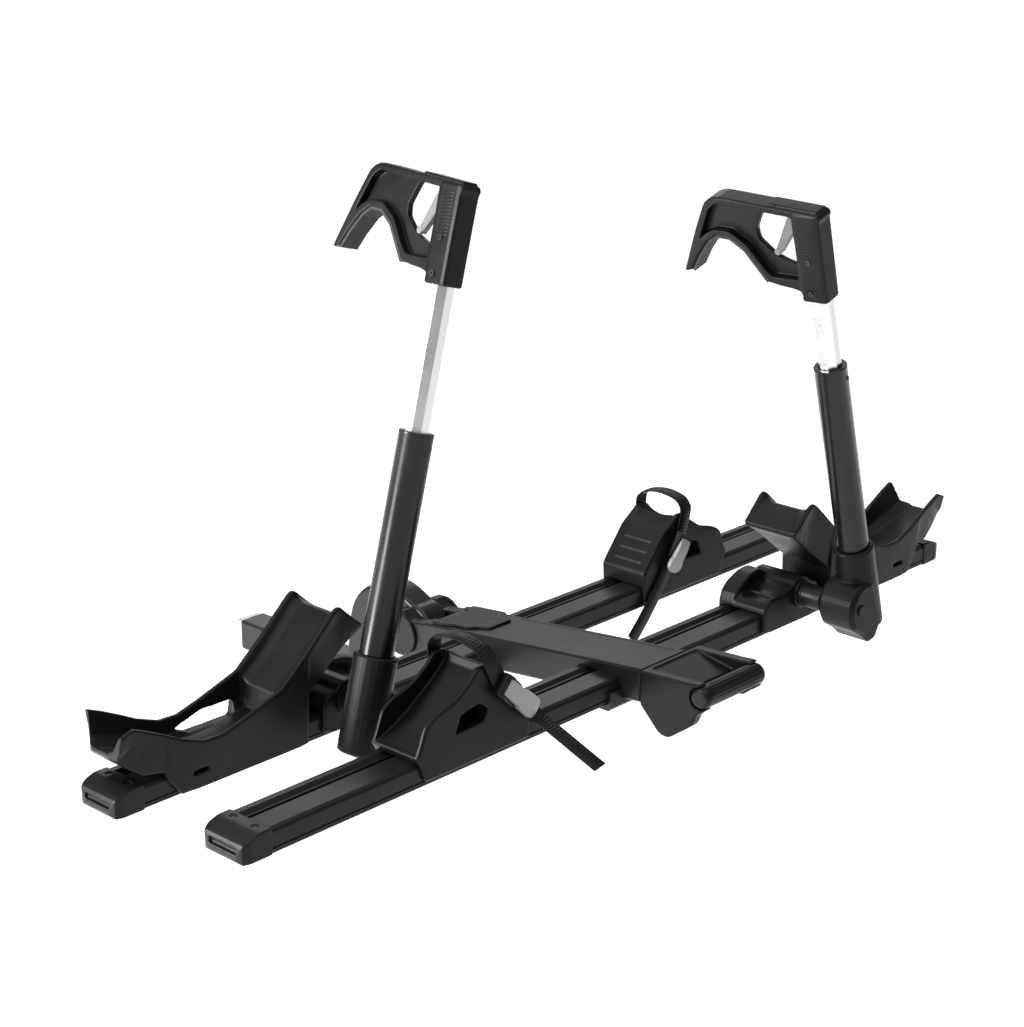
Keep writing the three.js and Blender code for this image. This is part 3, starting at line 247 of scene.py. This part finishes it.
def moulded(node, voxel, rounds, keep):
    """A soft-edged moulding in the shape of a node: remeshed, relaxed and thinned."""
    thing = scratch_object(NODES[node].data.copy())
    remesh = thing.modifiers.new("remesh", "REMESH")
    remesh.mode = "VOXEL"
    remesh.voxel_size = voxel * MM
    remesh.use_smooth_shade = True
    relax = thing.modifiers.new("relax", "SMOOTH")
    relax.factor = RELAX_FACTOR
    relax.iterations = rounds
    thin = thing.modifiers.new("thin", "DECIMATE")
    thin.ratio = keep
    mesh = solved(thing)
    mesh.shade_smooth()
    link(node + "_skin", mesh, body_of(node), SLOT_OF[node], node)


FLAT_ANGLE = math.radians(0.6)  # faces closer than this are one flat face
BEVEL_ANGLE = math.radians(28)  # edges sharper than this are rounded
BEVEL_STEPS = 2
FACE_WEIGHT = 60


def bevelled(node, width):
    """Keeps a node and rounds its edges with modifiers."""
    thing = NODES[node]
    flat = thing.modifiers.new("flat", "DECIMATE")
    flat.decimate_type = "DISSOLVE"
    flat.angle_limit = FLAT_ANGLE
    edge = thing.modifiers.new("edge", "BEVEL")
    edge.width = width * MM
    edge.segments = BEVEL_STEPS
    edge.limit_method = "ANGLE"
    edge.angle_limit = BEVEL_ANGLE
    edge.use_clamp_overlap = True
    shade = thing.modifiers.new("shade", "NODES")
    shade.node_group = SMOOTH_SHADE
    even = thing.modifiers.new("even", "WEIGHTED_NORMAL")
    even.weight = FACE_WEIGHT
    even.keep_sharp = False


def smooth_shade_group():
    group = bpy.data.node_groups.new("smooth_shade", "GeometryNodeTree")
    group.interface.new_socket("Geometry", in_out="INPUT", socket_type="NodeSocketGeometry")
    group.interface.new_socket("Geometry", in_out="OUTPUT", socket_type="NodeSocketGeometry")
    first = group.nodes.new("NodeGroupInput")
    shade = group.nodes.new("GeometryNodeSetShadeSmooth")
    last = group.nodes.new("NodeGroupOutput")
    group.links.new(first.outputs[0], shade.inputs["Geometry"])
    group.links.new(shade.outputs[0], last.inputs[0])
    return group


SMOOTH_SHADE = smooth_shade_group()


def lathe_mesh(profile, place, sides=64, closed=True):
    """A turned mesh about local z from (radius, z) points in millimetres, placed by a matrix."""
    work = bmesh.new()
    rings = []
    for radius, height in profile:
        ring = []
        for k in range(sides):
            turn = 2 * math.pi * k / sides
            at = Vector((radius * math.cos(turn), radius * math.sin(turn), height)) * MM
            ring.append(work.verts.new(at))
        rings.append(ring)
    pairs = list(zip(rings, rings[1:] + rings[:1])) if closed else list(zip(rings, rings[1:]))
    for low, high in pairs:
        for k in range(sides):
            after = (k + 1) % sides
            work.faces.new((low[k], low[after], high[after], high[k]))
    if not closed:
        work.faces.new(tuple(reversed(rings[0])))
        work.faces.new(tuple(rings[-1]))
    bmesh.ops.recalc_face_normals(work, faces=work.faces)
    mesh = bpy.data.meshes.new("turned")
    work.to_mesh(mesh)
    work.free()
    mesh.transform(place)
    mesh.shade_smooth()
    return mesh


def sharpened(mesh, angle=35):
    mesh.set_sharp_from_angle(angle=math.radians(angle))
    return mesh


def tray_frame(tray):
    return TRAY_ORIGIN @ Matrix.Translation((0, tray["y"] * MM, tray["z"] * MM))


# Foot of the outer arm from the middle of its tray; the inner arm is its mirror image.
ARM_FOOT = (394, -122, 54)
ARM_LEAN = math.radians(15.5)
HEAD_YAW = math.radians(4)
HINGE_PLACE = (353, 0, 48)
# (radius, place along the axis) points of the turned pieces, in millimetres.
TUBE_PROFILE = (
    (23.8, -19.5), (23.8, 387), (24.1, 387.6), (24.1, 390), (23.2, 391), (17.6, 391),
    (17.2, 390.4), (17.2, 366), (18.6, 366), (18.6, -19.5),
)
HINGE_PROFILE = (
    (0.6, 157), (6.5, 157), (8, 155.5), (8, 89), (16.6, 89), (17.7, 88.5), (18, 87.5),
    (18, 55.5), (19.3, 54.8), (19.5, 54.2), (19.5, 52.8), (19.3, 52.2), (18, 51.5),
    (18, 50.5), (21.4, 49.9), (22, 49.3), (22, 46.1), (21.4, 45.5), (12, 45.5), (12, 30),
    (0.6, 30),
)
BUTTON_PROFILE = (
    (0.3, 22.6), (3.6, 22.6), (3.6, 24.2), (3.1, 24.8), (2.0, 25.0), (1.8, 24.2), (0.3, 24.2),
)
BUTTON_HEIGHT = 371
BUTTON_SPIN = math.radians(18)
QUARTER_TURN = Matrix.Rotation(math.radians(90), 4, "X")
TUBE_SIDES = 96
BUTTON_SIDES = 32


def arm_frame(tray):
    side = tray["side"]
    across, along, up = ARM_FOOT
    foot = Matrix.Translation((side * across * MM, along * MM, up * MM))
    return tray_frame(tray) @ foot @ Matrix.Rotation(-side * ARM_LEAN, 4, "Y")


def head_frame(tray):
    return arm_frame(tray) @ Matrix.Rotation(tray["side"] * HEAD_YAW, 4, "Z")


# ---------- tubes and hinges of the two arms ----------
def arm_pieces(tray):
    tag = tray["tag"]
    tube = lathe_mesh(TUBE_PROFILE, head_frame(tray), TUBE_SIDES)
    link(f"arm_tube_{tag}_skin", sharpened(tube), f"arm_{tag}", "tube_paint",
         f"arm_tube_{tag}")
    across, along, up = HINGE_PLACE
    hinge = Matrix.Translation((tray["side"] * across * MM, along * MM, up * MM))
    mesh = lathe_mesh(HINGE_PROFILE, tray_frame(tray) @ hinge @ QUARTER_TURN, closed=False)
    link(f"arm_hinge_{tag}_skin", sharpened(mesh, 40), f"tray_{tag}", "black_plastic",
         f"arm_hinge_{tag}")


def ridge_piece(tray):
    """Row of fine grip ridges on both broad faces of the post of a hook head."""
    work = bmesh.new()
    for face in (-1, 1):
        for index in range(HEAD_RIDGES):
            low = tray["head"] + RIDGE_START + index * RIDGE_PITCH
            block = bmesh.ops.create_cube(work, size=1.0)["verts"]
            bmesh.ops.scale(work, vec=Vector(RIDGE_BLOCK) * MM, verts=block)
            at = Vector((face * (POST_HALF + RIDGE_LIFT), RIDGE_ASIDE, low)) * MM
            bmesh.ops.translate(work, vec=at, verts=block)
    mesh = bpy.data.meshes.new("ridges")
    work.to_mesh(mesh)
    work.free()
    thing = scratch_object(mesh)
    edge = thing.modifiers.new("edge", "BEVEL")
    edge.width = RIDGE_BEVEL * MM
    edge.segments = BEVEL_STEPS
    mesh = solved(thing)
    mesh.transform(head_frame(tray))
    mesh.shade_smooth()
    link(f"hook_ridges_{tray['tag']}", sharpened(mesh, 50), f"head_{tray['tag']}",
         "black_plastic")


def tube_button(tray):
    """Low round button near the top of a lower arm tube, on the side that faces away."""
    spin = Matrix.Rotation(BUTTON_SPIN, 4, "Z")
    lift = Matrix.Translation((0, 0, BUTTON_HEIGHT * MM))
    place = arm_frame(tray) @ spin @ lift @ QUARTER_TURN
    mesh = lathe_mesh(BUTTON_PROFILE, place, BUTTON_SIDES, closed=False)
    link(f"tube_button_{tray['tag']}", sharpened(mesh, 40), f"arm_{tray['tag']}",
         "black_screw")


# ---------- straps ----------
STRAPS = {
    "inner": [
        (372, 46.8, 66), (376, 46.8, 100), (378, 46.4, 141), (379, 41, 152), (380, 28, 160),
        (380, 0, 164), (380, -28, 160), (379, -41, 152), (376, -47, 140), (366, -48, 108),
        (352, -48, 84), (330, -48, 52), (304, -48, 18), (274, -49, -14), (244, -51, -40),
    ],
    "outer": [
        (-336, 46.8, 84), (-339, 46.8, 112), (-342, 46.4, 142), (-343, 41, 155),
        (-344, 28, 164), (-344, 0, 169), (-342, -28, 164), (-338, -41, 156), (-331, -47, 140),
        (-312, -48, 104), (-288, -48, 80), (-266, -48.5, 58), (-250, -50, 43), (-243, -60, 33),
        (-241, -84, 23), (-237, -118, 7), (-232, -150, -9),
    ],
}
STRAP_WIDTH = 25.0
STRAP_THICKNESS = 2.6
RUNG_PITCH = 5.0
RUNG_HEIGHT = 0.7


STRAP_STEPS = 24
# The points of each strap where the band is turned out of the tray's direction, and how.
STRAP_TURN = {
    "inner": (range(9, 15), Vector((0.8, 0, -0.6))),
    "outer": (range(9, 12), Vector((0.7, 0, 0.7))),
}
# Outline of the band: share of the half width, then of the half thickness. The points between
# BAND_START and BAND_END are the top of a rung, and strap_piece puts them in.
BAND_START = (
    (-1, -0.5), (-0.96, -1), (0.96, -1), (1, -0.5), (1, 0.4), (0.94, 0.8), (0.72, 0.8),
)
BAND_END = ((-0.72, 0.8), (-0.94, 0.8), (-1, 0.4))
RUNG_HALF = 0.68
RUNG_BASE = 0.8


def strap_across(tag, index):
    turned, direction = STRAP_TURN[tag]
    return direction if index in turned else Vector((1, 0, 0))


def catmull(points, steps):
    """Points on a smooth curve through the given vectors."""
    result = []
    for i in range(len(points) - 1):
        p0 = points[max(i - 1, 0)]
        p1, p2 = points[i], points[i + 1]
        p3 = points[min(i + 2, len(points) - 1)]
        for k in range(steps):
            t = k / steps
            result.append(0.5 * ((2 * p1) + (p2 - p0) * t + (2 * p0 - 5 * p1 + 4 * p2 - p3) * t * t
                                 + (3 * p1 - p0 - 3 * p2 + p3) * t ** 3))
    result.append(points[-1])
    return result


def strap_piece(tray):
    """Ladder strap: a band with rounded edges and a low rung every few millimetres."""
    tag = tray["tag"]
    line = catmull([Vector(p) for p in STRAPS[tag]], STRAP_STEPS)
    sides = catmull([strap_across(tag, i) for i in range(len(STRAPS[tag]))], STRAP_STEPS)
    work = bmesh.new()
    rings = []
    run = 0.0
    half = STRAP_WIDTH / 2
    for i, point in enumerate(line):
        if i:
            run += (point - line[i - 1]).length
        ahead = line[min(i + 1, len(line) - 1)]
        behind = line[max(i - 1, 0)]
        along = (ahead - behind).normalized()
        across = (sides[i] - along * sides[i].dot(along)).normalized()
        out = along.cross(across)
        phase = (run % RUNG_PITCH) / RUNG_PITCH
        rung = RUNG_HEIGHT * (0.5 - 0.5 * math.cos(2 * math.pi * phase)) ** 1.5
        thick = STRAP_THICKNESS / 2
        ring = []
        top = ((RUNG_HALF, RUNG_BASE + rung), (-RUNG_HALF, RUNG_BASE + rung))
        for p, q in BAND_START + top + BAND_END:
            at = point + across * p * half + out * q * thick
            ring.append(work.verts.new(at * MM))
        rings.append(ring)
    count = len(rings[0])
    for low, high in zip(rings, rings[1:]):
        for k in range(count):
            after = (k + 1) % count
            work.faces.new((low[k], low[after], high[after], high[k]))
    work.faces.new(rings[0])
    work.faces.new(list(reversed(rings[-1])))
    bmesh.ops.recalc_face_normals(work, faces=work.faces)
    mesh = bpy.data.meshes.new("strap")
    work.to_mesh(mesh)
    work.free()
    mesh.transform(tray_frame(tray))
    mesh.shade_smooth()
    link(f"wheel_strap_{tag}_skin", sharpened(mesh, 50), f"chock_{tag}", "strap_plastic",
         f"wheel_strap_{tag}")


# ---------- grip ----------
GRIP_PLACE = (0.5, -180, 44)
GRIP_RIDGES = 20
RIDGE_SIDES = 6
GRIP_DIP = 0.9
# Place along the grip, radius, and 1 where the ridges are.
GRIP_STATIONS = (
    (-65.5, 8, 0), (-65.5, 12, 0), (-63.8, 14.2, 0), (-61, 15.6, 0), (-57, 16, 0), (-48, 16, 0),
    (-45, 15.9, 1), (42, 15.9, 1), (45, 16, 0), (57, 16, 0), (61, 15.6, 0), (63.8, 14.2, 0),
    (65.5, 12, 0), (65.5, 8, 0),
)


def grip_piece():
    """Round grip with long ridges between two plain ends."""
    work = bmesh.new()
    sides = GRIP_RIDGES * RIDGE_SIDES
    rings = []
    for x, radius, ridged in GRIP_STATIONS:
        ring = []
        for k in range(sides):
            turn = 2 * math.pi * k / sides
            dip = GRIP_DIP * ridged * (0.5 - 0.5 * math.cos(turn * GRIP_RIDGES)) ** 2
            r = radius - dip
            ring.append(work.verts.new(Vector((x, r * math.cos(turn), r * math.sin(turn))) * MM))
        rings.append(ring)
    for low, high in zip(rings, rings[1:]):
        for k in range(sides):
            after = (k + 1) % sides
            work.faces.new((low[k], low[after], high[after], high[k]))
    work.faces.new(rings[0])
    work.faces.new(list(reversed(rings[-1])))
    bmesh.ops.recalc_face_normals(work, faces=work.faces)
    mesh = bpy.data.meshes.new("grip")
    work.to_mesh(mesh)
    work.free()
    mesh.transform(TRAY_ORIGIN @ Matrix.Translation(Vector(GRIP_PLACE) * MM))
    mesh.shade_smooth()
    link("handle_grip_skin", sharpened(mesh, 50), "platform", "black_plastic", "handle_grip")


# ---------- build ----------
for tray in TRAYS:
    arm_pieces(tray)
    ridge_piece(tray)
    tube_button(tray)
    strap_piece(tray)
grip_piece()

# Voxel size, rounds of smoothing and share of faces kept for each family of mouldings.
MOULDED = {
    "wheel_cradle": (1.5, 8, 0.2),
    "wheel_chock": (1.3, 5, 0.25),
    "arm_shoe": (1.2, 6, 0.25),
    "arm_knuckle": (1.0, 3, 0.3),
    "hook_head": (0.9, 3, 0.3),
    "rail_cap": (1.0, 6, 0.25),
    "handle_frame": (1.2, 5, 0.25),
    "mast": (1.5, 6, 0.25),
}
SMALL_BEVEL = 0.4
BEVEL_WIDTH = {"spine": 1.2, "hub_cover": 0.6, "arm_extension": 0.8, "tray_rail": 0.5,
               "saddle": 1.5, "stinger": 1.5, "hook_pad": 1.0, "buckle_lever": 0.7}


def family(node, table):
    found = [key for key in table if node.startswith(key)]
    return max(found, key=len) if found else None


for node in sorted(NODES):
    if NODES[node].hide_render:
        continue
    key = family(node, MOULDED)
    if key:
        moulded(node, *MOULDED[key])
        continue
    key = family(node, BEVEL_WIDTH)
    bevelled(node, BEVEL_WIDTH[key] if key else SMALL_BEVEL)
    for holder in NODES[node].material_slots:
        holder.material = FINISHES[SLOT_OF[node]]


# ---------- floor, light and camera ----------
FLOOR_LEVEL = -0.6
FLOOR_HALF = 30.0
FLOOR_TONES = (0.93, 0.95)
SKY_STRENGTH = 0.35
SUN_POWER = 2.7
SUN_SPREAD = math.radians(90)
SUN_DIRECTION = (0.25, 0.05, -1.0)
LIGHT_TARGET = (0.0, -0.5, 0.3)
# Name, place, width, power and height of each sheet of light.
SHEETS = (
    ("left_key", (-3.0, 0.75, 0.9), 0.9, 260, 1.8),
    ("back_sheet", (3.4, 3.1, 3.0), 4.0, 60, 2.0),
)
CAMERA_PLACE = (-2.2199, -2.6109, 1.3927)
CAMERA_HEADING = math.radians(43.21)
CAMERA_FALL = math.radians(18.55)
CAMERA_LENS = 77.22


def floor_piece():
    half = FLOOR_HALF
    level = FLOOR_LEVEL
    mesh = bpy.data.meshes.new("floor")
    mesh.from_pydata([(-half, -half, level), (half, -half, level), (half, half, level),
                      (-half, half, level)], [], [(0, 1, 2, 3)])
    floor = bpy.data.objects.new("floor", mesh)
    bpy.context.scene.collection.objects.link(floor)
    material = bpy.data.materials.new("floor_white")
    material.use_nodes = True
    tree = material.node_tree
    shader = tree.nodes["Principled BSDF"]
    shader.inputs["Roughness"].default_value = 0.9
    shader.inputs["Specular IOR Level"].default_value = 0.1
    cloud = add_node(tree, "ShaderNodeTexNoise", Scale=0.4, Detail=2.0)
    tone = colour_mix(tree, ramp(tree, cloud.outputs["Fac"], 0, 1),
                      *(grey(level) for level in FLOOR_TONES))
    tree.links.new(tone, shader.inputs["Base Color"])
    floor.data.materials.append(material)


def area_light(name, at, width, power, height):
    data = bpy.data.lights.new(name, "AREA")
    data.shape = "RECTANGLE"
    data.size = width
    data.size_y = height
    data.energy = power
    light = bpy.data.objects.new(name, data)
    bpy.context.scene.collection.objects.link(light)
    light.location = at
    ahead = Vector(LIGHT_TARGET) - Vector(at)
    light.rotation_euler = ahead.to_track_quat("-Z", "Y").to_euler()


def studio():
    floor_piece()
    world = bpy.data.worlds.new("studio")
    bpy.context.scene.world = world
    world.use_nodes = True
    sky = world.node_tree.nodes["Background"]
    sky.inputs["Color"].default_value = (1, 1, 1, 1)
    sky.inputs["Strength"].default_value = SKY_STRENGTH
    sun = bpy.data.lights.new("sky_sun", "SUN")
    sun.energy = SUN_POWER
    sun.angle = SUN_SPREAD
    high = bpy.data.objects.new("sky_sun", sun)
    bpy.context.scene.collection.objects.link(high)
    high.rotation_euler = Vector(SUN_DIRECTION).to_track_quat("-Z", "Y").to_euler()
    for sheet in SHEETS:
        area_light(*sheet)


def camera():
    data = bpy.data.cameras.new("camera")
    data.sensor_width = 36.0
    data.lens = CAMERA_LENS
    data.clip_end = 100
    thing = bpy.data.objects.new("camera", data)
    bpy.context.scene.collection.objects.link(thing)
    level = math.cos(CAMERA_FALL)
    forward = Vector((level * math.cos(CAMERA_HEADING), level * math.sin(CAMERA_HEADING),
                      -math.sin(CAMERA_FALL)))
    right = Vector((math.sin(CAMERA_HEADING), -math.cos(CAMERA_HEADING), 0))
    up = right.cross(forward)
    turn = Matrix((right, up, -forward)).transposed().to_4x4()
    thing.matrix_world = Matrix.Translation(CAMERA_PLACE) @ turn
    bpy.context.scene.camera = thing


studio()
camera()
bpy.context.scene.view_settings.view_transform = "Standard"
bpy.context.view_layer.update()
